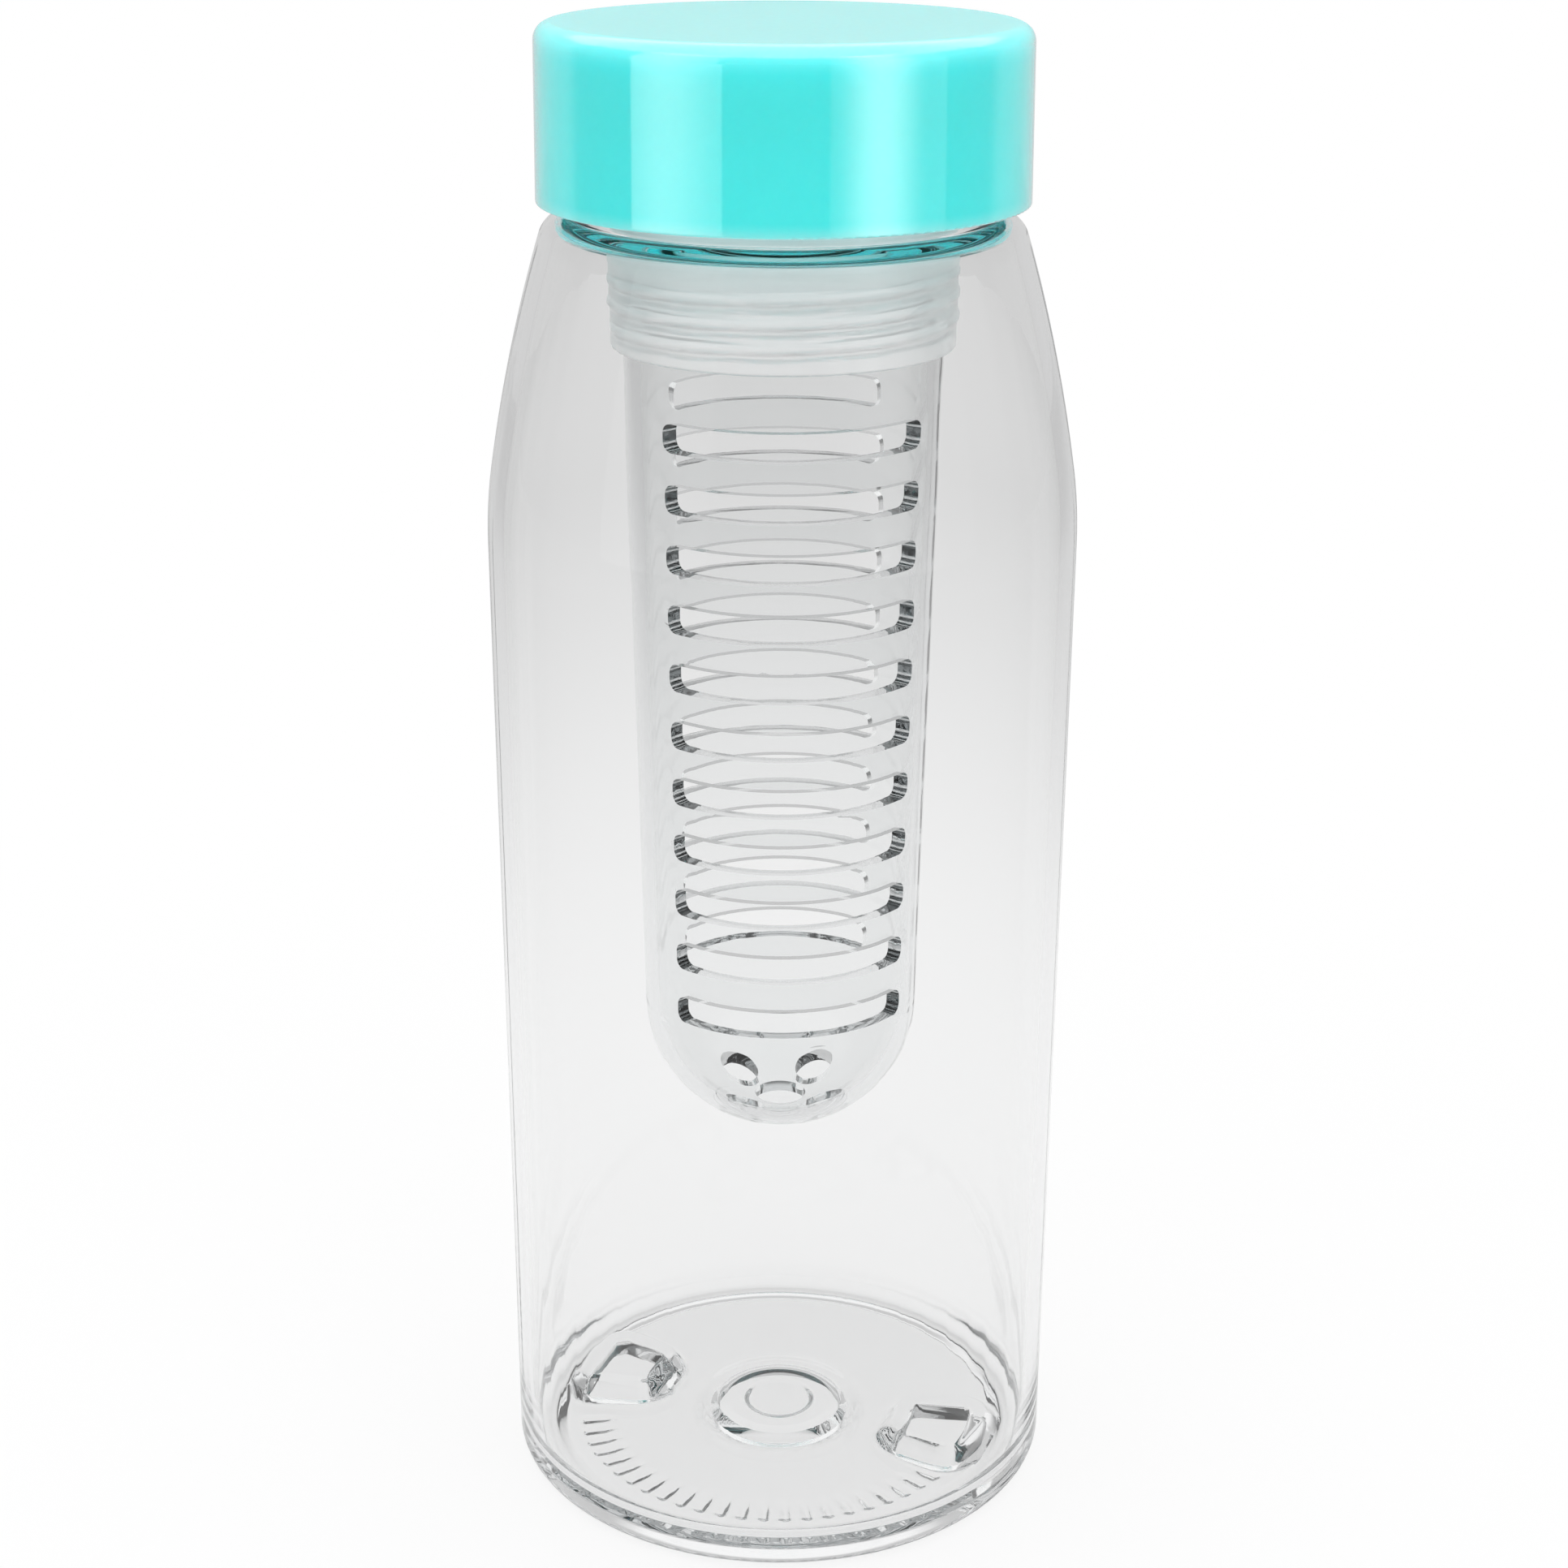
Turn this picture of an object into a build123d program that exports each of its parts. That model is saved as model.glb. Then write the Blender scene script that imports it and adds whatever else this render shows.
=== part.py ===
from build123d import *
import math
import os

# Clear water bottle with a screw lid, and a slotted fruit infuser that screws into the lid.
# Millimetres, +Z up. The origin is on the bottle's axis at the surface it stands on, and the
# side that faces a viewer is -Y. Both threads are right-handed.

# Bottle body
neck_radius = 28.0
neck_wall = 2.5
rim_height = 197.5
rim_fillet = 0.5
neck_height = 18.2           # from the shoulder's top to the rim
shoulder_width = 11.19       # from the neck out to the widest place
shoulder_rise = 42.8         # from the widest place up to the shoulder's top
shoulder_radius = 212.0      # the shoulder and the knee below it are arcs, seen from the side
shoulder_fillet = 3.6
mouth_fillet = 1.2           # inside, where the shoulder turns up into the neck
knee_radius = 63.0
knee_turn = 8.9              # degrees
side_taper = 0.79            # how much narrower the base is than the widest place
wall = 2.2
heel_fillet = 2.4
inner_heel_fillet = 3.6
floor_height = 3.2           # upper face of the floor

# Underside of the bottle
foot_width = 4.6             # standing ring, with the rounded heel
panel_slope_width = 2.2
panel_rise = 0.9
push_up_radius = 9.5
push_up_rise = 3.1
gate_radius = 5.1
gate_drop = 0.8
pocket_centre_radius = 24.5
pocket_length = 9.5          # along the radius
pocket_width = 11.0
pocket_rise = 3.8
pocket_fillet = 0.9
pocket_azimuths = (-19.5, 160.5)
pad_margin = 1.6             # how much wider the floor's raised pads are than the hollows below
pad_rise = 2.4               # over a pocket
push_up_pad_rise = 1.4
pad_fillet = 1.3
tick_count = 23
tick_first_azimuth = -172.0
tick_step = 6.0              # degrees
tick_edge_gap = 2.5          # from the panel's edge in to the marks
tick_length = 3.2
tick_width = 0.5
tick_height = 0.3

# Thread between the neck and the cap
lid_pitch = 4.2
lid_turns = 1.25
lid_ridge_height = 1.3       # how far the neck's ridge stands out
lid_ridge_base = 2.2
lid_ridge_crest = 0.9
lid_thread_depth = 9.3       # from the rim down to where the neck's ridge starts
lid_thread_azimuth = 0.0
lid_thread_clearance = 0.4   # crest to root
lid_flank_clearance = 0.1

# Cap shell
cap_gap = 1.6                # between the cap's lower edge and the bottle's shoulder
cap_wall = 2.15
cap_taper = 0.2              # how much narrower the cap is at its top
cap_top_fillet = 2.2
cap_edge_fillet = 0.25
cap_plate = 2.4              # over the insert's disc
seat_overlap = 0.6           # how far the cap's inner step reaches below the insert's disc

# Neck seal and lid insert
neck_seal_thickness = 1.7
neck_seal_inset = 0.1        # from both faces of the neck
disc_thickness = 1.6
disc_clearance = 0.3         # to the cap's thread, which the disc is pushed in through
seat_clearance = 0.1         # to the cap around the disc
collar_clearance = 2.65      # inside the neck, where drink is poured past it
collar_wall = 1.0
collar_length = 36.7         # below the disc
collar_lip_fillet = 0.4
ledge_depth = 20.0           # below the disc
ledge_thickness = 1.2
ledge_width = 2.3
rib_height = 0.25            # swelling on the collar's outside that follows its thread
rib_base = 1.5
rib_crest = 0.5

# Thread between the collar and the infuser
infuser_pitch = 3.0
infuser_turns = 3.0
infuser_ridge_height = 0.75
infuser_ridge_base = 1.3
infuser_ridge_crest = 0.6
infuser_thread_rise = 2.6    # from the collar's lower edge up to where the infuser's ridge starts
infuser_thread_azimuth = -180.0
infuser_thread_clearance = 0.25
infuser_flank_clearance = 0.1

# Infuser tube and its seal
head_wall = 1.6
head_step = 0.38             # how far the tube stands out below its threaded head
head_step_drop = 0.3         # from the collar's lower edge down to that step
infuser_rim_fillet = 0.3
tube_length = 91.7           # from the step down to the dome's centre
tube_draft = 1.175           # degrees
dome_wall = 1.85
infuser_seal_thickness = 1.0
infuser_seal_inset = 0.2
slot_rows = 11
slot_drop = 9.45             # from the collar's lower edge to the middle of the top row
slot_spacing = 7.95
slot_height = 3.75
slot_span = 104.0            # degrees
slot_corner = 1.4
infuser_turn = 5.5           # degrees that the slots are turned from the front
dome_hole_radius = 3.75
side_hole_radius = 2.8
side_hole_centre_radius = 8.0
side_hole_count = 4

# How far threads are sunk into their walls, and how far cuts run past a face
sink = 0.3
overrun = 1.0

# A female thread's end is cut by a round tool of this share of its crest radius
ramp_tool_share = 0.68

# Bottle sizes that follow
shoulder_top = rim_height - neck_height
waist_height = shoulder_top - shoulder_rise
waist_radius = neck_radius + shoulder_width
base_radius = waist_radius - side_taper
foot_inner_radius = base_radius - foot_width
panel_radius = foot_inner_radius - panel_slope_width
tick_centre_radius = panel_radius - tick_edge_gap - tick_length / 2
neck_bore_radius = neck_radius - neck_wall
neck_crest_radius = neck_radius + lid_ridge_height
lid_thread_start = rim_height - lid_thread_depth

# Lid sizes that follow. The cap's thread lies below the neck's, flank to flank, when the lid is
# screwed down, and the collar's thread lies below the infuser's in the same way
lid_thread_offset = (lid_ridge_base + lid_ridge_crest) / 2 + lid_flank_clearance
cap_bore_radius = neck_crest_radius + lid_thread_clearance
cap_crest_radius = neck_radius + lid_thread_clearance
cap_radius = cap_bore_radius + cap_wall
disc_bottom = rim_height + neck_seal_thickness
disc_top = disc_bottom + disc_thickness
disc_radius = cap_crest_radius - disc_clearance
seat_radius = disc_radius + seat_clearance
cap_bottom = shoulder_top + cap_gap
cap_top = disc_top + cap_plate
collar_radius = neck_bore_radius - collar_clearance - rib_height
collar_bore_radius = collar_radius - collar_wall
collar_bottom = disc_bottom - collar_length
ledge_top = disc_bottom - ledge_depth
ledge_bottom = ledge_top - ledge_thickness
ledge_bore_radius = collar_bore_radius - ledge_width

# Infuser sizes that follow
infuser_thread_offset = (infuser_ridge_base + infuser_ridge_crest) / 2 + infuser_flank_clearance
infuser_thread_start = collar_bottom + infuser_thread_rise
infuser_crest_radius = collar_bore_radius - infuser_thread_clearance
head_radius = infuser_crest_radius - infuser_ridge_height
collar_crest_radius = head_radius + infuser_thread_clearance
infuser_rim = ledge_bottom - infuser_seal_thickness
head_bore_radius = head_radius - head_wall
step_radius = head_radius + head_step
step_height = collar_bottom - head_step_drop
dome_centre_height = step_height - tube_length


def tan_of(degrees):
    return math.tan(math.radians(degrees))


def cos_of(degrees):
    return math.cos(math.radians(degrees))


def disc(radius, low, high):
    # Upright cylinder on the axis between two heights.
    centred = (Align.CENTER, Align.CENTER, Align.MIN)
    return Pos(0, 0, low) * Cylinder(radius, high - low, align=centred)


def ring(inner, outer, low, high):
    return disc(outer, low, high) - disc(inner, low - overrun, high + overrun)


def spun(face):
    # Turns a face drawn as (radius, height) once about the axis.
    return revolve(Plane.XZ * face, Axis.Z)


def rounded(face, corner, radius):
    # Rounds the corner of a drawn face that is nearest to a point.
    nearest = face.vertices().sort_by_distance(Vertex(*corner))[0]
    return fillet(nearest, radius)


def edges_at(solid, radius, height):
    # Circular edges about the axis at one radius and height.
    found = []
    for edge in solid.edges().filter_by(GeomType.CIRCLE):
        place = edge.arc_center
        centred = math.hypot(place.X, place.Y) < sink / 3
        if centred and abs(edge.radius - radius) < sink / 3 and abs(place.Z - height) < sink / 3:
            found.append(edge)
    return found


def end_ramp(root, crest, pitch):
    # What a ridge loses at its end, so that it rises from the wall over a short arc.
    if crest > root:
        start = root - sink / 2
        return Pos(start + root / 2, 0, 0) * Box(root, root, pitch)
    tool = crest * ramp_tool_share
    return Pos(root + sink / 2 - tool, 0, 0) * Cylinder(tool, pitch)


def thread(root, crest, base_width, crest_width, pitch, turns):
    # Right-hand ridge on a wall of radius root. Its middle starts at azimuth 0 and height 0.
    side = 1 if crest > root else -1
    path = Helix(pitch=pitch, height=pitch * turns, radius=root)
    tall = abs(crest - root)
    sunk_width = base_width + (base_width - crest_width) * sink / tall
    outline = Polyline(
        (-sink, -sunk_width / 2),
        (tall, -crest_width / 2),
        (tall, crest_width / 2),
        (-sink, sunk_width / 2),
        close=True,
    )
    section = Plane(origin=path @ 0, x_dir=(side, 0, 0), z_dir=path % 0) * make_face(outline)
    ridge = sweep(section, path=path, is_frenet=True)
    for turned in (0, turns):
        ridge -= Pos(0, 0, pitch * turned) * Rot(0, 0, 360 * turned) * end_ramp(root, crest, pitch)
    return ridge


def barrel(inset, low, high, low_fillet, high_fillet):
    # Solid whose side lies inset inside the bottle's outer face, between two heights.
    lean = math.atan2(side_taper, waist_height)
    side = Vector(math.sin(lean), math.cos(lean))
    foot = Vector(base_radius - inset / math.cos(lean) + low * math.tan(lean), low)
    waist = Vector(waist_radius, waist_height) + Vector(-side.Y, side.X) * inset
    knee = JernArc(waist, side, knee_radius - inset, knee_turn)
    slope = knee % 1
    rise = (high - (knee @ 1).Y) / (shoulder_radius - inset)
    turn = math.degrees(math.asin(rise - slope.X) - math.asin(-slope.X))
    shoulder = JernArc(knee @ 1, slope, shoulder_radius - inset, turn)
    crown = shoulder @ 1
    outline = Line(foot, waist) + knee + shoulder
    outline += Polyline(crown, (0, high), (0, low), foot)
    face = make_face(outline)
    face = rounded(face, (foot.X, foot.Y), low_fillet)
    face = rounded(face, (crown.X, crown.Y), high_fillet)
    return spun(face)


def underside():
    # Everything that the base is hollowed by from below.
    outline = Polyline(
        (0, -overrun),
        (foot_inner_radius, -overrun),
        (foot_inner_radius, 0),
        (panel_radius, panel_rise),
        (0, panel_rise),
        close=True,
    )
    hollow = spun(make_face(outline))
    hollow += disc(push_up_radius, 0, push_up_rise)
    hollow -= disc(gate_radius, push_up_rise - gate_drop, push_up_rise + overrun)
    pocket = Box(pocket_length, pocket_width, pocket_rise + overrun)
    pocket = fillet(pocket.edges().filter_by(Axis.Z), pocket_fillet)
    pocket = fillet(pocket.edges().group_by(Axis.Z)[-1], pocket_fillet)
    for azimuth in pocket_azimuths:
        place = Rot(0, 0, azimuth) * Pos(pocket_centre_radius, 0, (pocket_rise - overrun) / 2)
        hollow += place * pocket
    return hollow


def pads():
    # The floor's upper face is raised over the hollows, so that the plastic stays as thick there.
    raised = []
    long = pocket_length + 2 * pad_margin
    wide = pocket_width + 2 * pad_margin
    pad = Box(long, wide, pad_rise + sink)
    pad = fillet(pad.edges().filter_by(Axis.Z), pocket_fillet + pad_margin)
    pad = fillet(pad.edges().group_by(Axis.Z)[-1], pad_fillet)
    for azimuth in pocket_azimuths:
        place = Pos(pocket_centre_radius, 0, floor_height + (pad_rise - sink) / 2)
        raised.append(Rot(0, 0, azimuth) * place * pad)
    top = floor_height + push_up_pad_rise
    middle = disc(push_up_radius + pad_margin, floor_height - sink, top)
    raised.append(fillet(edges_at(middle, push_up_radius + pad_margin, top), pad_fillet))
    return raised


def ticks():
    # Arc of plain raised marks under the base.
    marks = []
    mark = Box(tick_length, tick_width, tick_height + sink)
    for index in range(tick_count):
        azimuth = tick_first_azimuth + tick_step * index
        place = Pos(tick_centre_radius, 0, panel_rise + (sink - tick_height) / 2)
        marks.append(Rot(0, 0, azimuth) * place * mark)
    return marks


def bottle_body():
    shell = barrel(0, 0, shoulder_top, heel_fillet, shoulder_fillet)
    shell += disc(neck_radius, shoulder_top - wall, rim_height)
    shell -= barrel(wall, floor_height, shoulder_top - wall, inner_heel_fillet, shoulder_fillet - wall)
    shell -= disc(neck_bore_radius, waist_height, rim_height + overrun)
    rim_edges = edges_at(shell, neck_radius, rim_height) + edges_at(shell, neck_bore_radius, rim_height)
    shell = fillet(rim_edges, rim_fillet)
    shell = fillet(edges_at(shell, neck_bore_radius, shoulder_top - wall), mouth_fillet)
    shell += pads()
    shell -= underside()
    shell += ticks()
    ridge = thread(
        neck_radius, neck_crest_radius, lid_ridge_base, lid_ridge_crest, lid_pitch, lid_turns
    )
    shell += Pos(0, 0, lid_thread_start) * Rot(0, 0, lid_thread_azimuth) * ridge
    return shell


def cap_shell():
    outline = Polyline(
        (0, cap_bottom),
        (cap_radius, cap_bottom),
        (cap_radius - cap_taper, cap_top),
        (0, cap_top),
        close=True,
    )
    face = make_face(outline)
    face = rounded(face, (cap_radius, cap_bottom), cap_edge_fillet)
    face = rounded(face, (cap_radius - cap_taper, cap_top), cap_top_fillet)
    shell = spun(face)
    shell -= disc(cap_bore_radius, cap_bottom - overrun, disc_bottom - seat_overlap)
    shell -= disc(seat_radius, cap_bottom, disc_top)
    ridge = thread(
        cap_bore_radius, cap_crest_radius, lid_ridge_base, lid_ridge_crest, lid_pitch, lid_turns
    )
    height = lid_thread_start - lid_thread_offset
    shell += Pos(0, 0, height) * Rot(0, 0, lid_thread_azimuth) * ridge
    return shell


def neck_seal():
    inner = neck_bore_radius + neck_seal_inset
    outer = neck_radius - neck_seal_inset
    return ring(inner, outer, rim_height, disc_bottom)


def lid_insert():
    insert = disc(disc_radius, disc_bottom, disc_top)
    collar = disc(collar_radius, collar_bottom, disc_bottom)
    collar = fillet(edges_at(collar, collar_radius, collar_bottom), collar_lip_fillet)
    insert += collar
    insert -= disc(collar_bore_radius, collar_bottom - overrun, ledge_bottom)
    insert -= disc(ledge_bore_radius, ledge_bottom - overrun, ledge_top)
    insert -= disc(collar_bore_radius, ledge_top, disc_bottom)
    inner_ridge = thread(
        collar_bore_radius,
        collar_crest_radius,
        infuser_ridge_base,
        infuser_ridge_crest,
        infuser_pitch,
        infuser_turns,
    )
    outer_rib = thread(
        collar_radius, collar_radius + rib_height, rib_base, rib_crest, infuser_pitch, infuser_turns
    )
    turned = Rot(0, 0, infuser_thread_azimuth)
    insert += Pos(0, 0, infuser_thread_start - infuser_thread_offset) * turned * inner_ridge
    insert += Pos(0, 0, infuser_thread_start) * turned * outer_rib
    return insert


def infuser_seal():
    inner = ledge_bore_radius + infuser_seal_inset
    outer = head_radius - infuser_seal_inset
    return ring(inner, outer, infuser_rim, ledge_bottom)


def dome_radius():
    # Of the sphere that the tapered outside of the tube runs into without an edge.
    radius_at_centre = step_radius - tube_length * tan_of(tube_draft)
    return radius_at_centre * cos_of(tube_draft)


def domed(radius, top_radius, top):
    # Tapered plug whose lower end is a sphere about the dome's centre.
    reach = math.hypot(top_radius, top - dome_centre_height)
    turned = math.atan2(top - dome_centre_height, top_radius) - math.acos(radius / reach)
    half_way = (turned - math.radians(90)) / 2
    centre = Vector(0, dome_centre_height)
    pole = centre - Vector(0, radius)
    through = centre + Vector(math.cos(half_way), math.sin(half_way)) * radius
    tangent = centre + Vector(math.cos(turned), math.sin(turned)) * radius
    outline = ThreePointArc(pole, through, tangent)
    outline += Polyline(tangent, (top_radius, top), (0, top), pole)
    return spun(make_face(outline))


def slot():
    # Cutter for one slot, centred on azimuth 0 and height 0, with rounded ends.
    inner = head_bore_radius / 2
    outer = step_radius + overrun
    outline = Polyline(
        (inner, -slot_height / 2),
        (outer, -slot_height / 2),
        (outer, slot_height / 2),
        (inner, slot_height / 2),
        close=True,
    )
    cutter = revolve(Plane.XZ * make_face(outline), Axis.Z, slot_span)
    cutter = fillet(cutter.edges().filter_by(GeomType.LINE).filter_by(Plane.XY), slot_corner)
    return Rot(0, 0, -slot_span / 2) * cutter


def infuser_tube():
    tube = domed(dome_radius(), step_radius, step_height)
    tube += disc(head_radius, step_height, infuser_rim)
    tube -= domed(dome_radius() - dome_wall, head_bore_radius, infuser_rim)
    tube = fillet(edges_at(tube, head_radius, infuser_rim), infuser_rim_fillet)
    ridge = thread(
        head_radius,
        infuser_crest_radius,
        infuser_ridge_base,
        infuser_ridge_crest,
        infuser_pitch,
        infuser_turns,
    )
    tube += Pos(0, 0, infuser_thread_start) * Rot(0, 0, infuser_thread_azimuth) * ridge
    cutter = slot()
    cuts = []
    for row in range(slot_rows):
        height = collar_bottom - slot_drop - slot_spacing * row
        for facing in (-90, 90):
            cuts.append(Pos(0, 0, height) * Rot(0, 0, facing + infuser_turn) * cutter)
    low = dome_centre_height - dome_radius() - overrun
    cuts.append(disc(dome_hole_radius, low, dome_centre_height))
    for index in range(side_hole_count):
        azimuth = infuser_turn + 360 / side_hole_count * (index + 0.5)
        hole = Pos(side_hole_centre_radius, 0, 0) * disc(side_hole_radius, low, dome_centre_height)
        cuts.append(Rot(0, 0, azimuth) * hole)
    return tube - cuts


pieces = {
    "bottle_body": bottle_body(),
    "cap_shell": cap_shell(),
    "lid_insert": lid_insert(),
    "neck_seal": neck_seal(),
    "infuser_tube": infuser_tube(),
    "infuser_seal": infuser_seal(),
}

os.makedirs("parts", exist_ok=True)
for name, piece in pieces.items():
    export_step(piece, "parts/" + name + ".step")
    print(name, "solids", len(piece.solids()), "volume", round(piece.volume), "valid", piece.is_valid)

print("lid rises per radian, m", lid_pitch / 1000 / (2 * math.pi))
print("infuser drops per radian, m", infuser_pitch / 1000 / (2 * math.pi))
print("degrees that free the lid and the infuser", 360 * lid_turns, 360 * infuser_turns)
print("base radius", base_radius, "widest", 2 * waist_radius, "height", cap_top)
print("collar from", collar_bottom, "infuser rim", infuser_rim, "dome radius", dome_radius())
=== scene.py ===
import math

import bpy
from mathutils import Matrix, Vector


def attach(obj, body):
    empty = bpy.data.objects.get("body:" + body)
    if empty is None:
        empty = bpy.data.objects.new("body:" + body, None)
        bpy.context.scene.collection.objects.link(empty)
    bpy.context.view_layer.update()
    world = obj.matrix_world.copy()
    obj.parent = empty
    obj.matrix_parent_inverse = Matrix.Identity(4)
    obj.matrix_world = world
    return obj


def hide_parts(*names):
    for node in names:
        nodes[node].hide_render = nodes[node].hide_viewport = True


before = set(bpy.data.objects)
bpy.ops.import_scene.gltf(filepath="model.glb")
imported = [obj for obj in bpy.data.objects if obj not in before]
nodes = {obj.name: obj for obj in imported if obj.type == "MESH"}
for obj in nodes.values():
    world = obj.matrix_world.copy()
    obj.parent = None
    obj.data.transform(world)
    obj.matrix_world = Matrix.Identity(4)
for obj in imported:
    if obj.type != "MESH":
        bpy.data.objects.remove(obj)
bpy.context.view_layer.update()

print("frame loaded:", ", ".join(sorted(nodes)))

scene = bpy.context.scene
scene.view_settings.view_transform = "Standard"

# light is followed far enough to cross every wall of the clear plastic
bounces = 32
scene.cycles.max_bounces = bounces
scene.cycles.glossy_bounces = bounces
scene.cycles.transmission_bounces = bounces
scene.cycles.transparent_max_bounces = bounces


# shader graphs

class Value:
    # a number in a shader: sums on it add Math nodes
    def __init__(self, graph, socket):
        self.graph = graph
        self.socket = socket

    def maths(self, operation, first, second):
        made = self.graph.node("Math", {"operation": operation}, {0: first, 1: second})
        return Value(self.graph, made.outputs[0])

    def __add__(self, other):
        return self.maths("ADD", self, other)

    def __radd__(self, other):
        return self.maths("ADD", other, self)

    def __sub__(self, other):
        return self.maths("SUBTRACT", self, other)

    def __rsub__(self, other):
        return self.maths("SUBTRACT", other, self)

    def __mul__(self, other):
        return self.maths("MULTIPLY", self, other)

    def __rmul__(self, other):
        return self.maths("MULTIPLY", other, self)

    def __truediv__(self, other):
        return self.maths("DIVIDE", self, other)

    def power(self, other):
        return self.maths("POWER", self, other)

    def size(self):
        return self.maths("ABSOLUTE", self, 0)

    def clear(self, low, high):
        # 0 at low, 1 at high, smooth between and held beyond
        made = self.graph.node("MapRange", {"interpolation_type": "SMOOTHSTEP"},
                               {"Value": self, "From Min": low, "From Max": high})
        return Value(self.graph, made.outputs["Result"])


class Graph:
    # one node tree: every node is made and fed here
    def __init__(self, tree):
        self.tree = tree
        tree.nodes.clear()

    def node(self, kind, settings=None, sockets=None):
        made = self.tree.nodes.new("ShaderNode" + kind)
        for name, value in (settings or {}).items():
            setattr(made, name, value)
        for name, value in (sockets or {}).items():
            self.feed(made.inputs[name], value)
        return made

    def feed(self, socket, value):
        if isinstance(value, Value):
            self.tree.links.new(value.socket, socket)
        elif isinstance(value, bpy.types.NodeSocket):
            self.tree.links.new(value, socket)
        elif socket.type == "RGBA" and len(value) == 3:
            socket.default_value = (*value, 1)
        else:
            socket.default_value = value

    def value(self, node, output):
        return Value(self, node.outputs[output])

    def mixColour(self, factor, first, second):
        made = self.node("Mix", {"data_type": "RGBA"}, {0: factor, 6: first, 7: second})
        return made.outputs[2]

    def mixShader(self, factor, first, second):
        made = self.node("MixShader", None, {0: factor, 1: first, 2: second})
        return made.outputs[0]

    def place(self):
        # the piece's own coordinates, in metres
        return self.node("TexCoord").outputs["Object"]

    def noise(self, scale, detail=2.0, roughness=0.5):
        made = self.node("TexNoise", None, {
            "Vector": self.place(), "Scale": scale, "Detail": detail, "Roughness": roughness})
        return self.value(made, "Fac")

    def bump(self, height, depth):
        made = self.node("Bump", None, {"Height": height, "Distance": depth, "Strength": 1.0})
        return made.outputs["Normal"]

    def finish(self, shader, volume=None):
        end = self.node("OutputMaterial", None, {"Surface": shader})
        if volume:
            self.feed(end.inputs["Volume"], volume)


def newMaterial(name):
    made = bpy.data.materials.new(name)
    made.use_nodes = True
    return made, Graph(made.node_tree)


def dress(nodeName, material):
    # a material for a piece that keeps its CAD mesh
    mesh = nodes[nodeName]
    for held in mesh.material_slots:
        held.link = "OBJECT"
        held.material = material


# camera

camera = {
    "back": 0.37227,
    "height": 0.23668,
    "pitch": 20.03,     # degrees down
    "roll": 0.229,      # degrees
    "lens": 65.93,      # millimetres, for the sensor's width
    "sensor": 36,
    "shift": 0.00166,
    "nearest": 0.01,
}


def makeCamera(spec):
    data = bpy.data.cameras.new("viewCamera")
    data.sensor_fit = "HORIZONTAL"
    data.sensor_width = spec["sensor"]
    data.lens = spec["lens"]
    data.shift_x = spec["shift"]
    data.clip_start = spec["nearest"]
    made = bpy.data.objects.new("viewCamera", data)
    scene.collection.objects.link(made)
    tilt = Matrix.Rotation(math.radians(90 - spec["pitch"]), 4, "X")
    roll = Matrix.Rotation(math.radians(spec["roll"]), 4, "Z")
    made.matrix_world = Matrix.Translation((0, -spec["back"], spec["height"])) @ tilt @ roll
    scene.camera = made
    print("camera placed")


makeCamera(camera)


# studio

studio = {
    "floorDrop": 0.0002,         # keeps the floor just clear of the base
    "floorBack": 1.1,
    "floorFront": 1.1,
    "floorSide": 1.1,
    "floorColour": (0.62, 0.62, 0.62),
    "whiteNear": 0.8,            # share of plain white that the camera sees in the floor
    "whiteReach": (0.06, 0.3),
    "glowShare": 0.75,           # share of the graded glow seen through clear plastic
    "glowNear": 0.9,
    "glowFar": 0.66,
    "glowReach": (0.1, 0.62),
    "glowSide": 0.7,             # share of the glow that is left far out to the sides
    "sideReach": (0.12, 0.5),
    "glossSide": 0.2,            # what gloss shows of the floor beside and before the bottle
    "glossBack": 0.55,           # and behind it
    "glossEdge": (0.28, 0.36),
    "glossReach": (0.08, 0.4),
    "glossShare": 0.85,
}

softboxes = {
    "left": {
        "azimuth": -49.3,
        "width": 0.65,
        "height": 0.9,
        "distance": 0.8,
        "low": 0.02,
        "glow": 1.6,             # level of the lamp's face
        "rest": 0.5,             # level away from the bright core
        "core": 0.7,
        "place": -0.17,          # of the core, from -1 to 1 across
        "reach": 1.3,
    },
    "right": {
        "azimuth": 48.6,
        "width": 0.86,
        "height": 0.9,
        "distance": 0.8,
        "low": 0.02,
        "glow": 1.62,
        "rest": 0.24,
        "core": 1.36,
        "place": -0.17,
        "reach": 0.8,
    },
}

room = {
    "sky": 1.9,
    "skyEdge": (0.5, 0.65),
    "back": 0.66,                # level behind the bottle
    "gap": 0.35,                 # and in front of it, between the lamps
    "backReach": (0.25, 0.45),
    "aside": 0.3,                # loss to the sides below the horizon, seen through the plastic
    "asideReach": (0.5, 0.95),
    "horizon": (0.02, 0.26),
    "beyond": 0.24,              # seen through the plastic above the horizon, to the sides
    "beyondBack": 0.62,          # and behind the bottle
    "beyondReach": (0.5, 0.9),
    "above": 1.0,
    "crown": 2.4,                # strip light above and behind, seen in gloss
    "crownReach": (0.44, 0.54, 0.74, 0.84),
}


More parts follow.
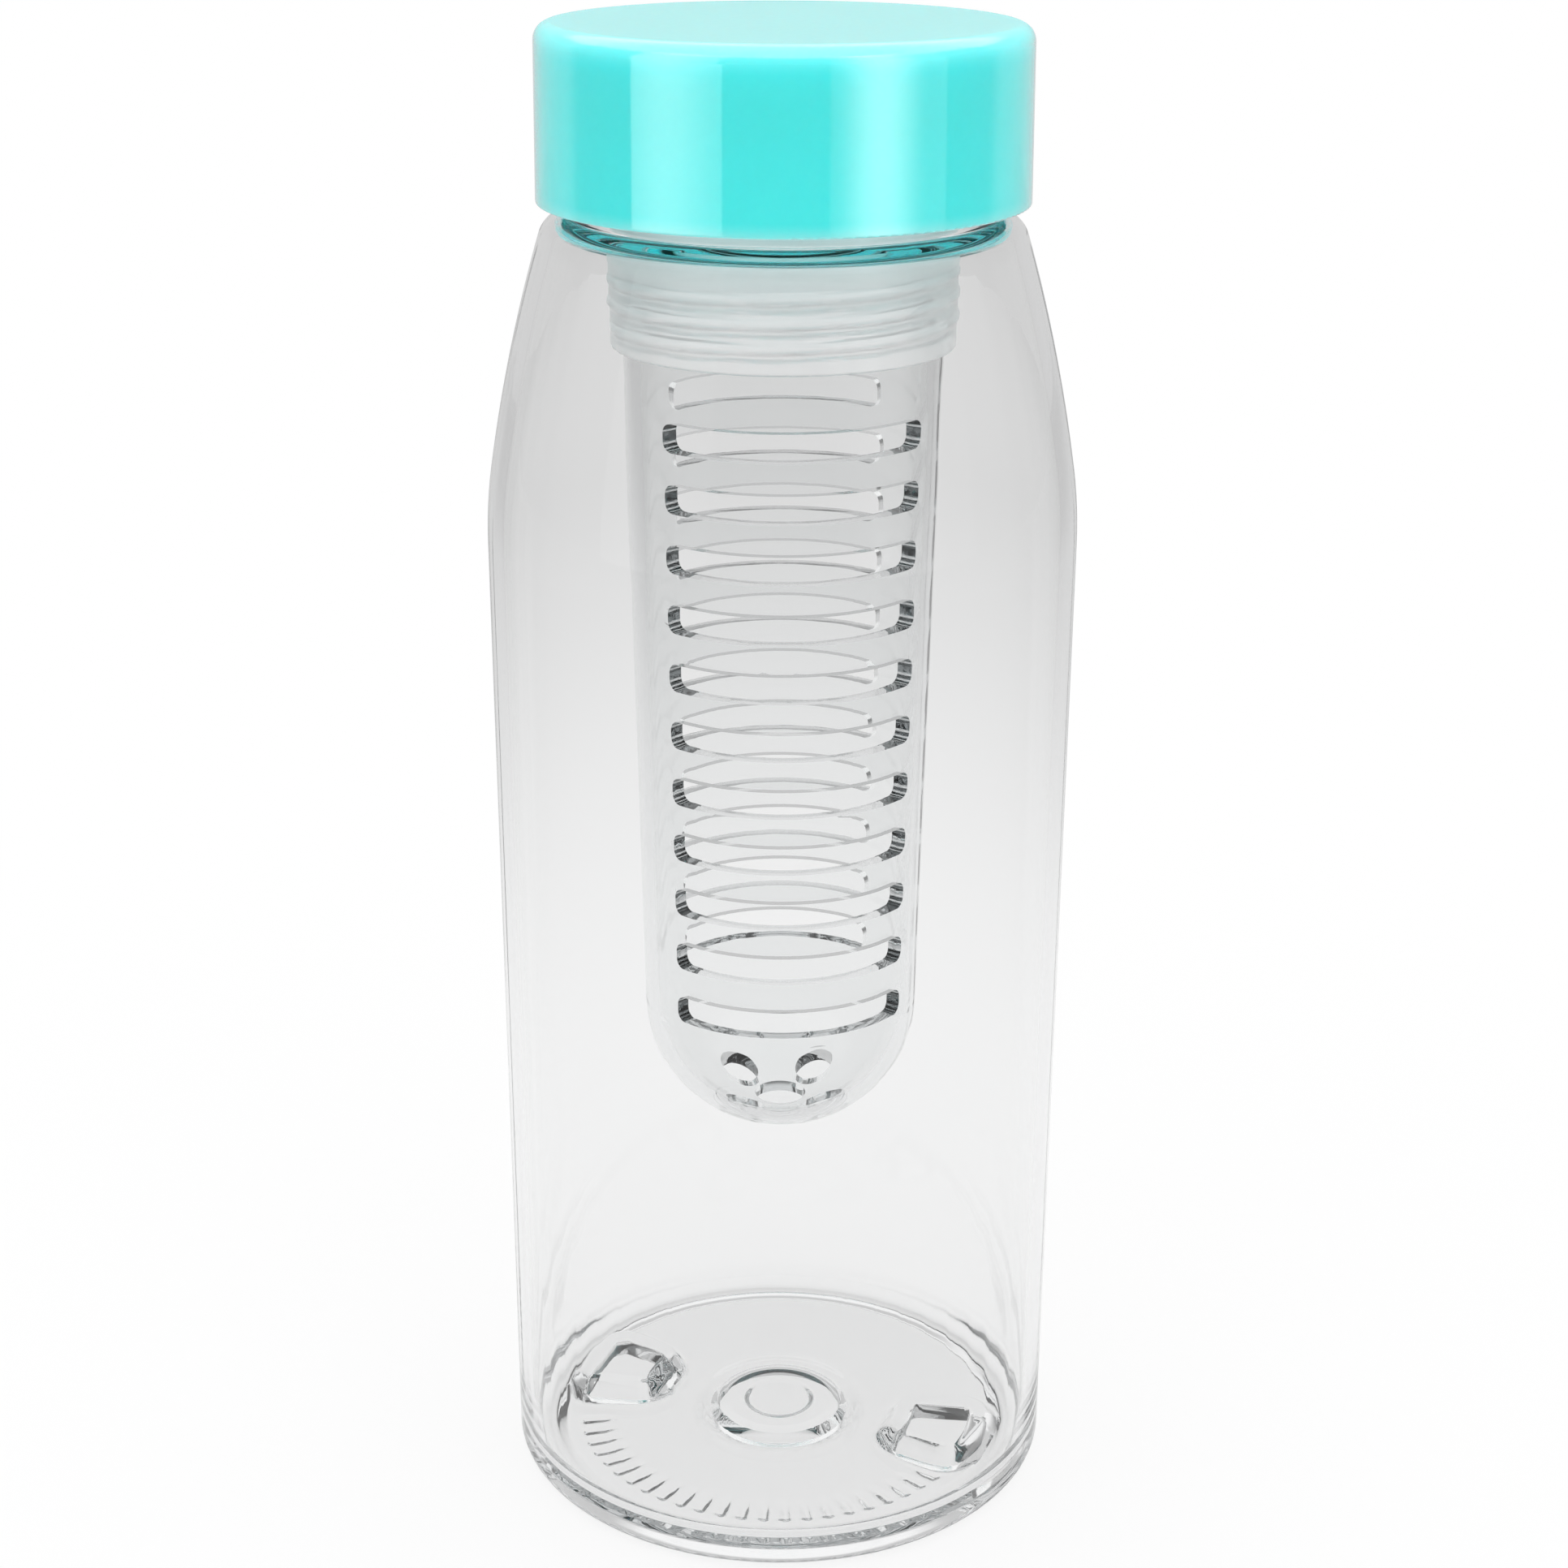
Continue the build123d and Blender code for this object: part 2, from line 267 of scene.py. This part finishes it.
def makeFloor(spec):
    back, front, side = spec["floorBack"], -spec["floorFront"], spec["floorSide"]
    low = -spec["floorDrop"]
    mesh = bpy.data.meshes.new("floor")
    corners = [(-side, front, low), (side, front, low), (side, back, low), (-side, back, low)]
    mesh.from_pydata(corners, [], [(0, 1, 2, 3)])
    made = bpy.data.objects.new("floor", mesh)
    scene.collection.objects.link(made)
    material, graph = newMaterial("floorPaint")
    ray = graph.node("LightPath")
    seen = graph.value(ray, "Is Camera Ray")
    through = graph.value(ray, "Is Transmission Ray")
    glossy = graph.value(ray, "Is Glossy Ray") * (1 - through)
    reach = graph.node("VectorMath", {"operation": "LENGTH"}, {0: graph.place()})
    away = graph.value(reach, "Value")
    near, far = spec["glowReach"]
    graded = spec["glowNear"] + away.clear(near, far) * (spec["glowFar"] - spec["glowNear"])
    parts = graph.node("SeparateXYZ", None, {0: graph.place()})
    across = graph.value(parts, "X").size()
    graded = graded * (1 - across.clear(*spec["sideReach"]) * (1 - spec["glowSide"]))
    behind = (graph.value(parts, "Y") / away).clear(*spec["glossEdge"])
    shine = spec["glossSide"] + behind * (spec["glossBack"] - spec["glossSide"])
    near, far = spec["whiteReach"]
    white = spec["whiteNear"] + away.clear(near, far) * (1 - spec["whiteNear"])
    paint = graph.node("BsdfDiffuse", None, {"Color": spec["floorColour"]}).outputs[0]
    glow = graph.node("Emission", None, {
        "Color": (1, 1, 1), "Strength": seen + through * graded + glossy * shine}).outputs[0]
    share = seen * white + through * spec["glowShare"]
    share = share + glossy * away.clear(*spec["glossReach"]) * spec["glossShare"]
    graph.finish(graph.mixShader(share, paint, glow))
    mesh.materials.append(material)


def makeSoftbox(name, spec):
    data = bpy.data.lights.new(name, "AREA")
    data.shape = "RECTANGLE"
    data.size = spec["width"]
    data.size_y = spec["height"]
    data.energy = spec["glow"] * math.pi * spec["width"] * spec["height"]
    made = bpy.data.objects.new(name, data)
    scene.collection.objects.link(made)
    angle = math.radians(spec["azimuth"])
    middle = spec["low"] + spec["height"] / 2
    made.location = (spec["distance"] * math.sin(angle), -spec["distance"] * math.cos(angle), middle)
    made.rotation_euler = (math.radians(90), 0, angle)
    made.visible_camera = False
    made.visible_transmission = False
    # brighter in its core than at its sides
    data.use_nodes = True
    graph = Graph(data.node_tree)
    place = graph.node("NewGeometry").outputs["Parametric"]
    across = graph.value(graph.node("SeparateXYZ", None, {0: place}), "X") * 2 - 1
    level = spec["rest"] + (across - spec["place"]).size().clear(spec["reach"], 0) * spec["core"]
    lamp = graph.node("Emission", None, {"Color": (1, 1, 1), "Strength": level}).outputs[0]
    graph.node("OutputLight", None, {"Surface": lamp})


def makeRoom(spec):
    world = bpy.data.worlds.new("room")
    scene.world = world
    world.use_nodes = True
    graph = Graph(world.node_tree)
    ray = graph.node("LightPath")
    way = graph.node("TexCoord").outputs["Generated"]
    parts = graph.node("SeparateXYZ", None, {0: way})
    across = graph.value(parts, "X")
    along = graph.value(parts, "Y")
    up = graph.value(parts, "Z")
    flat = (across * across + along * along).power(0.5)
    ahead = along / flat                      # -1 in front of the bottle, 1 behind it
    behind = ahead.clear(*spec["backReach"])
    level = spec["gap"] + behind * (spec["back"] - spec["gap"])
    high = up.clear(*spec["skyEdge"])
    level = level + high * (spec["sky"] - level)
    through = graph.value(ray, "Is Transmission Ray")
    aside = (across.size() / flat).clear(*spec["asideReach"])
    level = level + through * (spec["back"] * (1 - aside * spec["aside"]) - level)
    beyond = spec["beyond"] + ahead.clear(*spec["beyondReach"]) * (spec["beyondBack"] - spec["beyond"])
    beyond = beyond + high * (spec["above"] - beyond)
    level = level + through * up.clear(*spec["horizon"]) * (beyond - level)
    low, full, most, end = spec["crownReach"]
    crown = graph.value(ray, "Is Glossy Ray") * (1 - through) * behind
    crown = crown * up.clear(low, full) * (1 - up.clear(most, end))
    level = level + crown * (spec["crown"] - level)
    level = level + graph.value(ray, "Is Camera Ray") * (1 - level)
    light = graph.node("Background", None, {"Color": (1, 1, 1), "Strength": level}).outputs[0]
    graph.node("OutputWorld", None, {"Surface": light})


makeFloor(studio)
for boxName, boxSpec in softboxes.items():
    makeSoftbox(boxName, boxSpec)
makeRoom(room)
print("studio made")


# bottle: one closed skin, spun about its axis and hollowed under its base

bottleShape = {
    "neck": 0.028,
    "neckWall": 0.0025,
    "rim": 0.1975,
    "rimFillet": 0.0005,
    "shoulderTop": 0.1793,
    "shoulderFillet": 0.0036,
    "shoulderArc": 0.212,
    "mouthFillet": 0.0012,
    "rootFillet": 0.0004,
    "kneeArc": 0.063,            # radius of the bend between the side and the shoulder
    "kneeTurn": math.radians(8.9),
    "waist": 0.03919,            # widest radius
    "waistHeight": 0.1365,
    "taper": 0.00079,            # what the radius loses from the waist down to the base
    "wall": 0.0022,
    "heelFillet": 0.0024,
    "innerHeelFillet": 0.0036,
    "floor": 0.0032,
    "foot": 0.0338,              # inner edge of the standing ring
    "panel": 0.0316,             # the base's raised middle
    "panelRise": 0.0009,
}

neckThread = {
    "start": 0.1882,
    "azimuth": 0.0,
    "pitch": 0.0042,
    "turns": 1.25,
    "height": 0.0013,
    "base": 0.0022,
    "crest": 0.0009,
    "ramp": 0.12,                # turns over which each end rises
}

hollows = {
    "pushUp": 0.0095,            # radius of the round hollow
    "pushUpRise": 0.0031,
    "gate": 0.0051,              # flat mark in its middle
    "gateDrop": 0.0008,
    "pocketMiddle": 0.0245,      # the two square hollows
    "pocketLength": 0.0095,
    "pocketWidth": 0.011,
    "pocketCorner": 0.0016,
    "pocketRise": 0.0038,
    "azimuths": (-19.5, 160.5),  # degrees
    "draft": 0.0006,             # width of a hollow's leaning wall
    "padMargin": 0.0016,         # the floor rises over each hollow
    "padSlope": 0.0032,
    "padCorner": 0.003,
    "pocketPad": 0.0024,
    "pushUpPad": 0.0014,
    "pushUpSlope": 0.005,
}

ticks = {                        # an arc of small raised marks under the base
    "count": 23,
    "first": -172.0,             # degrees
    "step": 6.0,
    "middle": 0.0275,
    "length": 0.0032,
    "width": 0.0005,
    "height": 0.0003,
    "slope": 0.0004,
}

bottleMesh = {
    "hub": 0.0004,               # radius of the ring next to the axis
    "before": 0.0003,            # how far inside an edge the rings lie closest
    "base": (0.0012, 0.00025, 0.0006),  # widest step, closest step, reach about an edge
    "floor": (0.001, 0.0007, 0.006),
    "side": 0.006,
    "fillet": 0.0006,
    "bend": 0.0018,
    "crown": 0.0004,
    "flat": 0.001,
    "neck": 0.0005,
    "bore": 0.002,
    "curl": 0.0003,
    "lip": 0.0002,
    "lines": [math.radians(degrees) for degrees in (1.5, 0.45, 0.9)],
}

crease = math.radians(38)        # edges sharper than this stay sharp


def clamp(value):
    return max(0.0, min(1.0, value))


def soft(value):
    value = clamp(value)
    return value * value * (3 - 2 * value)


def arc(centre, radius, first, last, step):
    # points about a centre, from one direction to another
    count = max(3, math.ceil(abs(last - first) * radius / step))
    points = []
    for index in range(count + 1):
        angle = first + (last - first) * index / count
        points.append((centre[0] + radius * math.cos(angle), centre[1] + radius * math.sin(angle)))
    return points


def run(start, end, step):
    # points between two ends, without the ends
    count = max(1, math.ceil(math.dist(start, end) / step))
    points = []
    for index in range(1, count):
        part = index / count
        points.append(tuple(one + (other - one) * part for one, other in zip(start, end)))
    return points


def sideLine(shape, inset, low, lowFillet, high, highFillet):
    # the bottle's side, inset from its outer face: fillet, side, knee, shoulder, fillet
    lean = math.atan2(shape["taper"], shape["waistHeight"])
    inward = Vector((-math.cos(lean), math.sin(lean)))
    upward = Vector((math.sin(lean), math.cos(lean)))
    waist = Vector((shape["waist"], shape["waistHeight"]))
    line = waist + (inset + lowFillet) * inward
    heel = line - upward * (line.y - low - lowFillet) / math.cos(lean)
    knee = waist + shape["kneeArc"] * inward
    bend = shape["kneeTurn"] - lean
    turned = Vector((math.cos(bend), math.sin(bend)))
    shoulder = knee + (shape["kneeArc"] - shape["shoulderArc"]) * turned
    reach = shape["shoulderArc"] - inset - highFillet
    crest = math.asin((high - highFillet - shoulder.y) / reach)
    crown = (shoulder.x + reach * math.cos(crest), high - highFillet)
    points = arc(heel, lowFillet, -math.pi / 2, -lean, bottleMesh["fillet"])
    bottom = points[-1]
    bent = arc(knee, shape["kneeArc"] - inset, -lean, bend, bottleMesh["bend"])
    points += run(bottom, bent[0], bottleMesh["side"]) + bent
    points += arc(shoulder, shape["shoulderArc"] - inset, bend, crest, bottleMesh["bend"])[1:]
    points += arc(crown, highFillet, crest, math.pi / 2, bottleMesh["crown"])[1:]
    return points


def inSector(radius, azimuth, middle, length, width, corner):
    # how far a point lies outside a rounded sector about azimuth 0, below 0 inside
    along = abs(radius - middle) - length / 2 + corner
    across = abs(azimuth) * middle - width / 2 + corner
    return math.hypot(max(along, 0), max(across, 0)) + min(max(along, across), 0) - corner


def turnedBy(azimuth, degrees):
    return (azimuth - math.radians(degrees) + math.pi) % (2 * math.pi) - math.pi


def underside(radius, height, azimuth):
    # the base's lower face
    shape = bottleShape
    height = shape["panelRise"] * clamp((shape["foot"] - radius) / (shape["foot"] - shape["panel"]))
    draft = hollows["draft"]
    height += (hollows["pushUpRise"] - shape["panelRise"]) * soft((hollows["pushUp"] - radius) / draft)
    height -= hollows["gateDrop"] * soft((hollows["gate"] - radius) / draft)
    for degrees in hollows["azimuths"]:
        out = inSector(radius, turnedBy(azimuth, degrees), hollows["pocketMiddle"],
                       hollows["pocketLength"], hollows["pocketWidth"], hollows["pocketCorner"])
        height += (hollows["pocketRise"] - height) * soft(-out / draft)
    if abs(radius - ticks["middle"]) < ticks["length"]:
        place = math.degrees(turnedBy(azimuth, ticks["first"] - ticks["step"] / 2)) % 360
        if place < ticks["count"] * ticks["step"]:
            off = math.radians(place % ticks["step"] - ticks["step"] / 2)
            out = inSector(radius, off, ticks["middle"], ticks["length"], ticks["width"], 0)
            height -= ticks["height"] * clamp(1 - out / ticks["slope"])
    return radius, height


def floorFace(radius, height, azimuth):
    # the base's upper face, raised over each hollow
    margin, slope = hollows["padMargin"], hollows["padSlope"]
    height = bottleShape["floor"]
    wide = hollows["pushUpSlope"]
    height += hollows["pushUpPad"] * soft((hollows["pushUp"] + margin + wide / 2 - radius) / wide)
    for degrees in hollows["azimuths"]:
        out = inSector(radius, turnedBy(azimuth, degrees), hollows["pocketMiddle"],
                       hollows["pocketLength"] + margin, hollows["pocketWidth"] + margin,
                       hollows["padCorner"])
        height += hollows["pocketPad"] * soft((slope - out) / slope)
    return radius, height


def ridge(spec, height, azimuth):
    # how far a thread's ridge stands out
    turned = (azimuth - math.radians(spec["azimuth"])) % (2 * math.pi) / (2 * math.pi)
    out = 0
    for turn in range(math.ceil(spec["turns"]) + 1):
        turns = turn + turned
        ends = min(turns, spec["turns"] - turns) / spec["ramp"]
        off = abs(height - spec["start"] - spec["pitch"] * turns)
        flank = (spec["base"] / 2 - off) / ((spec["base"] - spec["crest"]) / 2)
        out = max(out, spec["height"] * clamp(flank) * soft(ends))
    return out


def neckFace(radius, height, azimuth):
    return radius + ridge(neckThread, height, azimuth), height


def spacing(marks, coarse, fine, width):
    # places from the first mark to the last, closer together about each mark between
    places = [marks[0]]
    while places[-1] < marks[-1] - coarse / 10:
        near = min(abs(places[-1] - mark) for mark in marks[1:-1])
        step = fine if near < width else min(coarse, max(fine, near - width + fine))
        places.append(min(places[-1] + step, marks[-1]))
    return places


def azimuthLines():
    marks = [math.radians(-180)]
    half = hollows["pocketWidth"] / 2 / hollows["pocketMiddle"]
    for degrees in hollows["azimuths"]:
        for side in (-half, half):
            marks.append(turnedBy(math.radians(degrees) + side, 0))
    for index in range(ticks["count"]):
        marks.append(turnedBy(math.radians(ticks["first"] + index * ticks["step"]), 0))
    marks.append(math.radians(180))
    return spacing(sorted(marks), *bottleMesh["lines"])[:-1]


def ringsAt(points, shaped=None):
    # each ring is a radius, a height and the function that shapes it, if any
    return [(*point, shaped) for point in points]


def baseRings():
    # from the axis to the standing ring, closer together at each edge of the hollows
    steps = bottleMesh
    half, before = hollows["pocketLength"] / 2, steps["before"]
    middle = hollows["pocketMiddle"]
    marks = [steps["hub"], hollows["gate"] - before, hollows["pushUp"] - before,
             middle - half + before, middle + half - before,
             bottleShape["panel"], bottleShape["foot"]]
    return [(radius, 0, underside) for radius in spacing(marks, *steps["base"])]


def neckRings(start):
    # up the threaded neck from the shoulder, over the rim and down the bore to the mouth
    shape, steps = bottleShape, bottleMesh
    root, neck, rim = shape["rootFillet"], shape["neck"], shape["rimFillet"]
    inside, under = neck - shape["neckWall"], shape["shoulderTop"] - shape["wall"]
    up = arc((neck + root, shape["shoulderTop"] + root), root, -math.pi / 2, -math.pi, steps["lip"])
    lip = arc((neck - rim, shape["rim"] - rim), rim, 0, math.pi / 2, steps["lip"])
    lip += arc((inside + rim, shape["rim"] - rim), rim, math.pi / 2, math.pi, steps["lip"])
    mouth = shape["mouthFillet"]
    curl = arc((inside + mouth, under + mouth), mouth, math.pi, math.pi * 1.5, steps["curl"])
    rings = ringsAt(run(start, up[0], steps["flat"]) + up)
    rings += ringsAt(run(up[-1], (neck, shape["rim"] - rim), steps["neck"]), neckFace)
    return rings + ringsAt(lip + run(lip[-1], curl[0], steps["bore"]) + curl)


def bottleRings():
    # underside, outer side, neck, inner side, floor
    shape, steps = bottleShape, bottleMesh
    outer = sideLine(shape, 0, 0, shape["heelFillet"], shape["shoulderTop"], shape["shoulderFillet"])
    inner = sideLine(shape, shape["wall"], shape["floor"], shape["innerHeelFillet"],
                     shape["shoulderTop"] - shape["wall"], shape["shoulderFillet"] - shape["wall"])
    rings = baseRings()
    rings += ringsAt(run((shape["foot"], 0), outer[0], steps["flat"]) + outer)
    rings += neckRings(outer[-1])
    rings += ringsAt(run(rings[-1][:2], inner[-1], steps["flat"]) + inner[::-1])
    edges = [steps["hub"], hollows["pushUp"] + hollows["padMargin"], hollows["pocketMiddle"],
             inner[0][0]]
    rings += [(radius, 0, floorFace) for radius in spacing(edges, *steps["floor"])[::-1][1:]]
    return rings


def spin(name, rings, lines, first, last):
    # a closed skin about the axis, through rings that start and end beside a point on the axis
    points = [(0, 0, first)]
    for radius, height, shaped in rings:
        for azimuth in lines:
            wide, high = shaped(radius, height, azimuth) if shaped else (radius, height)
            points.append((wide * math.cos(azimuth), wide * math.sin(azimuth), high))
    points.append((0, 0, last))
    count, last = len(lines), len(points) - 1
    faces = []
    for index in range(count):
        after = (index + 1) % count
        faces.append((0, 1 + after, 1 + index))
        faces.append((last, last - count + index, last - count + after))
        for row in range(len(rings) - 1):
            low, high = 1 + row * count, 1 + (row + 1) * count
            faces.append((low + index, low + after, high + after, high + index))
    mesh = bpy.data.meshes.new(name)
    mesh.from_pydata(points, [], faces)
    mesh.shade_smooth()
    mesh.set_sharp_from_angle(angle=crease)
    made = bpy.data.objects.new(name, mesh)
    scene.collection.objects.link(made)
    print(name, "made:", len(rings), "rings of", count)
    return made


floorTop = floorFace(0, 0, 0)[1]
bottleSkin = spin("bottleSkin", bottleRings(), azimuthLines(), underside(0, 0, 0)[1], floorTop)
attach(bottleSkin, "bottle")
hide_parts("bottle_body")


# lid insert: disc and long collar, spun in the same way

insertShape = {
    "discRadius": 0.0281,
    "discTop": 0.2008,
    "discBottom": 0.1992,
    "collar": 0.0226,
    "bore": 0.0216,
    "ledgeBore": 0.0193,
    "ledgeTop": 0.1792,
    "ledgeBottom": 0.178,
    "bottom": 0.1625,
    "lip": 0.0004,
}

collarThread = {
    "start": 0.16405,
    "azimuth": -180.0,
    "pitch": 0.003,
    "turns": 3.0,
    "height": 0.00075,
    "base": 0.0013,
    "crest": 0.0006,
    "ramp": 0.05,
}

collarRib = dict(collarThread, start=0.1651, height=0.00025, base=0.0015, crest=0.0005)

insertMesh = {
    "lines": 288,
    "flat": 0.004,
    "inside": 0.00025,
    "outside": 0.0003,
    "lip": 0.0001,
}


def collarInside(radius, height, azimuth):
    return radius - ridge(collarThread, height, azimuth), height


def collarOutside(radius, height, azimuth):
    return radius + ridge(collarRib, height, azimuth), height


def insertRings():
    # under the disc, down inside the collar, up outside it and over the disc
    shape, steps = insertShape, insertMesh
    bore, lip, flat = shape["bore"], shape["lip"], steps["flat"]
    ceiling, foot = (bore, shape["discBottom"]), (bore, shape["bottom"])
    ledge = [(bore, shape["ledgeTop"]), (shape["ledgeBore"], shape["ledgeTop"]),
             (shape["ledgeBore"], shape["ledgeBottom"]), (bore, shape["ledgeBottom"])]
    rings = ringsAt(run((0, shape["discBottom"]), ceiling, flat) + [ceiling])
    rings += ringsAt(run(ceiling, ledge[0], flat) + ledge)
    rings += ringsAt(run(ledge[-1], foot, steps["inside"]), collarInside)
    curl = arc((shape["collar"] - lip, shape["bottom"] + lip), lip, -math.pi / 2, 0, steps["lip"])
    corner = (shape["collar"], shape["discBottom"])
    rings += ringsAt([foot] + curl)
    rings += ringsAt(run(curl[-1], corner, steps["outside"]), collarOutside)
    edge = [corner, (shape["discRadius"], corner[1]), (shape["discRadius"], shape["discTop"])]
    return rings + ringsAt(edge + run(edge[-1], (0, shape["discTop"]), flat))


evenLines = [math.radians(360 * index / insertMesh["lines"]) for index in range(insertMesh["lines"])]
insertSkin = spin("insertSkin", insertRings(), evenLines, insertShape["discBottom"], insertShape["discTop"])
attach(insertSkin, "lid")
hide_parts("lid_insert")


# clear moulded plastic, for the bottle and the infuser

def clearPlastic(name, spec):
    material, graph = newMaterial(name)
    ray = graph.node("LightPath")
    smears = graph.noise(*spec["smears"])
    ripple = graph.noise(*spec["ripple"])
    body = graph.node("BsdfPrincipled", None, {
        "Base Color": spec["colour"],
        "Roughness": smears * spec["smearRoughness"],
        "IOR": spec["ior"],
        "Specular Tint": spec["glint"],
        "Transmission Weight": 1.0,
        "Normal": graph.bump(ripple, spec["rippleDepth"]),
    }).outputs[0]
    passing = graph.node("BsdfTransparent", None, {"Color": spec["shadowColour"]}).outputs[0]
    depth = graph.node("VolumeAbsorption", None, {
        "Color": spec["depthColour"], "Density": spec["depth"]}).outputs[0]
    graph.finish(graph.mixShader(graph.value(ray, "Is Shadow Ray"), body, passing), depth)
    return material


bottle = {
    "colour": (1.0, 1.0, 1.0),
    "depthColour": (0.08, 0.13, 0.15),
    "depth": 7.0,                # what is lost per metre of plastic
    "ior": 1.54,
    "glint": (0.2, 0.2, 0.2),
    "smears": (40.0, 3.0, 0.6),  # scale, detail and roughness of the noise
    "smearRoughness": 0.03,
    "ripple": (60.0, 1.0, 0.4),
    "rippleDepth": 0.00001,
    "shadowColour": (0.94, 0.94, 0.94),
}

infuser = dict(bottle, colour=(0.965, 0.97, 0.97), depth=15.0)

bottleSkin.data.materials.append(clearPlastic("bottlePlastic", bottle))
dress("infuser_tube", clearPlastic("infuserPlastic", infuser))
print("clear plastic made")


# lid insert, translucent natural plastic

insert = {
    "colour": (0.9, 0.885, 0.885),
    "paintedCapGlow": (0.96, 0.945, 0.945),  # painted light: paler near the cap, as if lit through it
    "paintedCapGlowReach": (0.1715, 0.1815),
    "ior": 1.49,
    "roughness": 0.08,
    "glint": (0.2, 0.2, 0.2),
    "milk": 0.32,                # share of milky plastic in the clear
    "milkTop": 0.6,
    "milkRoughness": 0.3,
    "cloud": (90.0, 2.0),
    "cloudShare": 0.1,
    "shadowColour": (0.92, 0.92, 0.92),
}


def insertPlastic(spec):
    material, graph = newMaterial("insertPlastic")
    ray = graph.node("LightPath")
    high = graph.value(graph.node("SeparateXYZ", None, {0: graph.place()}), "Z")
    # painted light: the insert is paler towards the cap, as if lit through it, and its milky share rises
    # there too
    glow = high.clear(*spec["paintedCapGlowReach"])
    colour = graph.mixColour(glow, spec["colour"], spec["paintedCapGlow"])
    clear = graph.node("BsdfPrincipled", None, {
        "Base Color": colour, "Roughness": spec["roughness"], "IOR": spec["ior"],
        "Specular Tint": spec["glint"], "Transmission Weight": 1.0}).outputs[0]
    milk = graph.node("BsdfPrincipled", None, {
        "Base Color": colour, "Roughness": spec["milkRoughness"], "IOR": spec["ior"]}).outputs[0]
    cloud = graph.noise(*spec["cloud"]) * spec["cloudShare"] + spec["milk"]
    cloud = cloud + glow * (spec["milkTop"] - spec["milk"])
    body = graph.mixShader(cloud, clear, milk)
    passing = graph.node("BsdfTransparent", None, {"Color": spec["shadowColour"]}).outputs[0]
    graph.finish(graph.mixShader(graph.value(ray, "Is Shadow Ray"), body, passing))
    return material


insertSkin.data.materials.append(insertPlastic(insert))


# cap shell, glossy turquoise

cap = {
    "colour": (0.042, 0.67, 0.66),
    "pale": (0.07, 0.71, 0.7),
    "paleShare": 0.4,
    "top": (0.2012, 0.203),      # satin over the edge and the top
    "topCoat": 0.4,
    "edge": (0.22, 0.76, 0.77),  # painted highlight: paler where light gathers at the lower and top edges
    "paintedLowEdgeLight": (0.1829, 0.1803),
    "paintedHighEdgeLight": (0.1995, 0.2032),
    "paintedHighEdgeLightShare": 0.8,
    "shadowColour": (0.5, 0.82, 0.82),
    # painted light: the cap's inner faces are paler, as if lit through the wall
    "inside": (0.5, 0.9, 0.92),
    "paintedInsideLightReach": (0.0312, 0.0306),
    "paintedInsideLightTop": (0.199, 0.2),
    "speckle": (900.0, 2.0),
    "speckleRoughness": 0.02,
    "skin": (1400.0, 1.0),
    "skinDepth": 0.000002,
    "roughness": 0.08,
    "topRoughness": 0.22,
    "ior": 1.5,
    "coatIor": 1.7,
    "coatRoughness": 0.04,
    "depth": 0.008,              # how far light spreads under the surface
    "depthColour": (0.25, 0.85, 1.0),
}


def capPlastic(spec):
    material, graph = newMaterial("capPlastic")
    speckle = graph.noise(*spec["speckle"])
    skin = graph.noise(*spec["skin"])
    parts = graph.node("SeparateXYZ", None, {0: graph.place()})
    across, along, high = (graph.value(parts, axis) for axis in "XYZ")
    radius = (across * across + along * along).power(0.5)
    top = high.clear(*spec["top"])
    ray = graph.node("LightPath")
    # painted highlight: paler bands at the cap's lower edge and over its top edge
    edges = high.clear(*spec["paintedLowEdgeLight"]) + high.clear(*spec["paintedHighEdgeLight"]) * spec["paintedHighEdgeLightShare"]
    plain = graph.mixColour(speckle * spec["paleShare"], spec["colour"], spec["pale"])
    # painted light: paler colour on the inner faces, below the top
    inside = radius.clear(*spec["paintedInsideLightReach"]) * (1 - high.clear(*spec["paintedInsideLightTop"]))
    plain = graph.mixColour(inside, plain, spec["inside"])
    satin = spec["roughness"] + top * (spec["topRoughness"] - spec["roughness"])
    body = graph.node("BsdfPrincipled", None, {
        "Base Color": graph.mixColour(edges, plain, spec["edge"]),
        "Roughness": satin + speckle * spec["speckleRoughness"],
        "IOR": spec["ior"],
        "Subsurface Weight": 1.0,
        "Subsurface Scale": spec["depth"],
        "Subsurface Radius": spec["depthColour"],
        "Coat Weight": 1 - top * (1 - spec["topCoat"]),
        "Coat IOR": spec["coatIor"],
        "Coat Roughness": spec["coatRoughness"],
        "Normal": graph.bump(skin, spec["skinDepth"]),
    }).outputs[0]
    passing = graph.node("BsdfTransparent", None, {"Color": spec["shadowColour"]}).outputs[0]
    graph.finish(graph.mixShader(graph.value(ray, "Is Shadow Ray"), body, passing))
    return material


dress("cap_shell", capPlastic(cap))


# silicone seals

seal = {
    "colour": (0.8, 0.82, 0.82),
    "roughness": 0.55,
    "dust": (300.0, 2.0),
    "dustRoughness": 0.1,
    "ior": 1.41,
}


def sealSilicone(spec):
    material, graph = newMaterial("sealSilicone")
    dust = graph.noise(*spec["dust"])
    body = graph.node("BsdfPrincipled", None, {
        "Base Color": spec["colour"],
        "Roughness": spec["roughness"] + dust * spec["dustRoughness"],
        "IOR": spec["ior"],
    }).outputs[0]
    graph.finish(body)
    return material


silicone = sealSilicone(seal)
dress("neck_seal", silicone)
dress("infuser_seal", silicone)
print("materials made")
